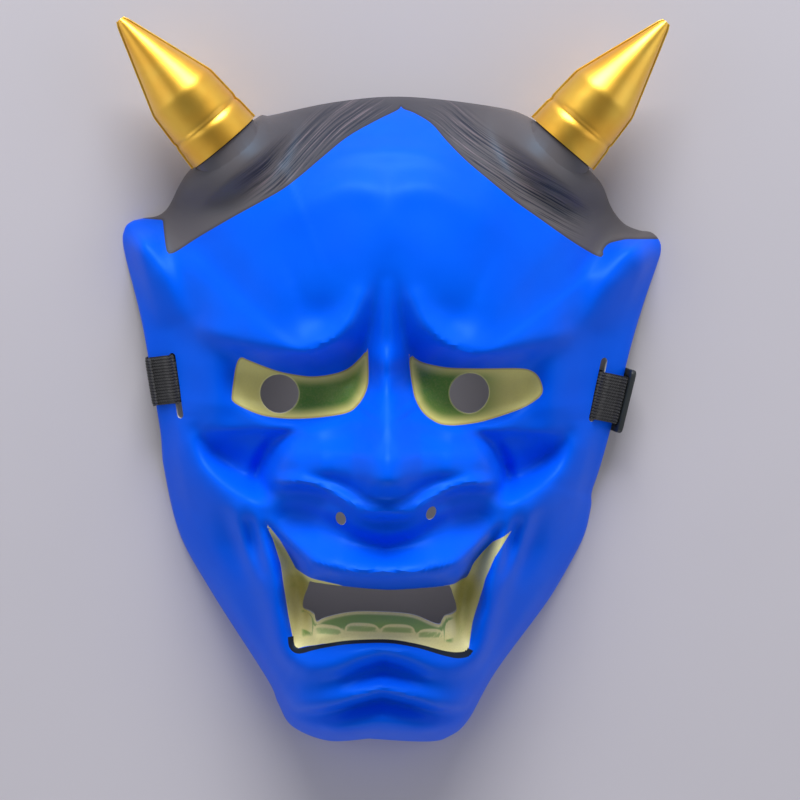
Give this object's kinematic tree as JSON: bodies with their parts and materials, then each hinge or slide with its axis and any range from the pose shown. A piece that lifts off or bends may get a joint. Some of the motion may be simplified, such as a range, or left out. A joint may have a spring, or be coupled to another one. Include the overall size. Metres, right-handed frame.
{
  "type": "hannya mask",
  "caption": "Thin formed demon face mask to wear, blue with a printed hair band, gold eyes and mouth, hollow gold horns and an elastic head strap.",
  "frame": {"origin": "on the table plane under the middle of the whole mask: the centre of the bounding box's underside", "axes": "+X to the viewer's right, +Y towards the forehead and the horns, +Z out of the face"},
  "size_m": [0.2003, 0.2681, 0.0775],
  "materials": {
    "shell_plastic": "satin, painted blue with charcoal hair and gold eyes and mouth",
    "gold_plastic": "satin metallic gold",
    "black_webbing": "ribbed elastic weave",
    "black_plastic": "moulded"
  },
  "bodies": {
    "root": {"mask_shell": "shell_plastic", "horn_left": "gold_plastic", "horn_right": "gold_plastic", "elastic_strap": "black_webbing", "strap_slider": "black_plastic"}
  },
  "joints": []
}
